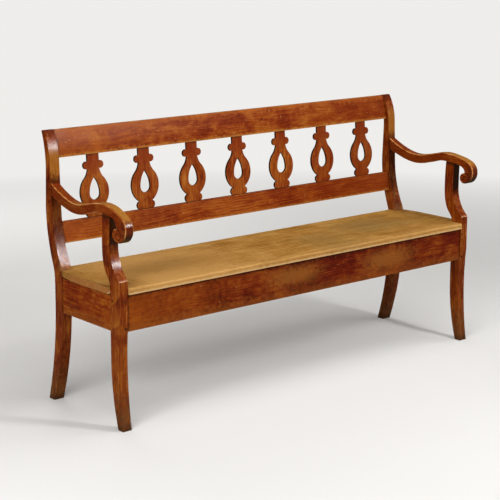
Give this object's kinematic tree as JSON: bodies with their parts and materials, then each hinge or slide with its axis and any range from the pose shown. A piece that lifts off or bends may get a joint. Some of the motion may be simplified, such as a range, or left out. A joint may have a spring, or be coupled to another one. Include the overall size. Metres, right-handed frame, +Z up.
{
  "type": "settle bench",
  "caption": "Long wooden settle with sabre legs, scroll arms, a raked back of pierced splats between two rails, deep aprons and a plank seat.",
  "frame": {"origin": "on the floor under the middle of the bench's bounding box", "axes": "+X along the bench to the right-hand end as the picture shows it, -Y the way the sitter faces, +Z up"},
  "size_m": [1.6, 0.4698, 0.893],
  "materials": {
    "frame_wood": "varnished",
    "seat_wood": "worn varnish",
    "hidden_wood": "bare",
    "peg_wood": "varnished"
  },
  "bodies": {
    "root": {"front_post_left": "frame_wood", "front_post_right": "frame_wood", "rear_post_left": "frame_wood", "rear_post_right": "frame_wood", "arm_left": "frame_wood", "arm_right": "frame_wood", "side_apron_left": "frame_wood", "side_apron_right": "frame_wood", "crest_rail": "frame_wood", "lower_back_rail": "frame_wood", "front_apron": "frame_wood", "rear_apron": "frame_wood", "splat_1": "frame_wood", "splat_2": "frame_wood", "splat_3": "frame_wood", "splat_4": "frame_wood", "splat_5": "frame_wood", "splat_6": "frame_wood", "splat_7": "frame_wood", "seat_board": "seat_wood", "seat_bearer_1": "hidden_wood", "seat_bearer_2": "hidden_wood", "seat_bearer_3": "hidden_wood", "glue_blocks": "hidden_wood", "arm_pegs": "peg_wood", "front_apron_pegs": "peg_wood", "side_apron_pegs": "peg_wood", "rear_apron_pegs": "peg_wood"}
  },
  "joints": []
}
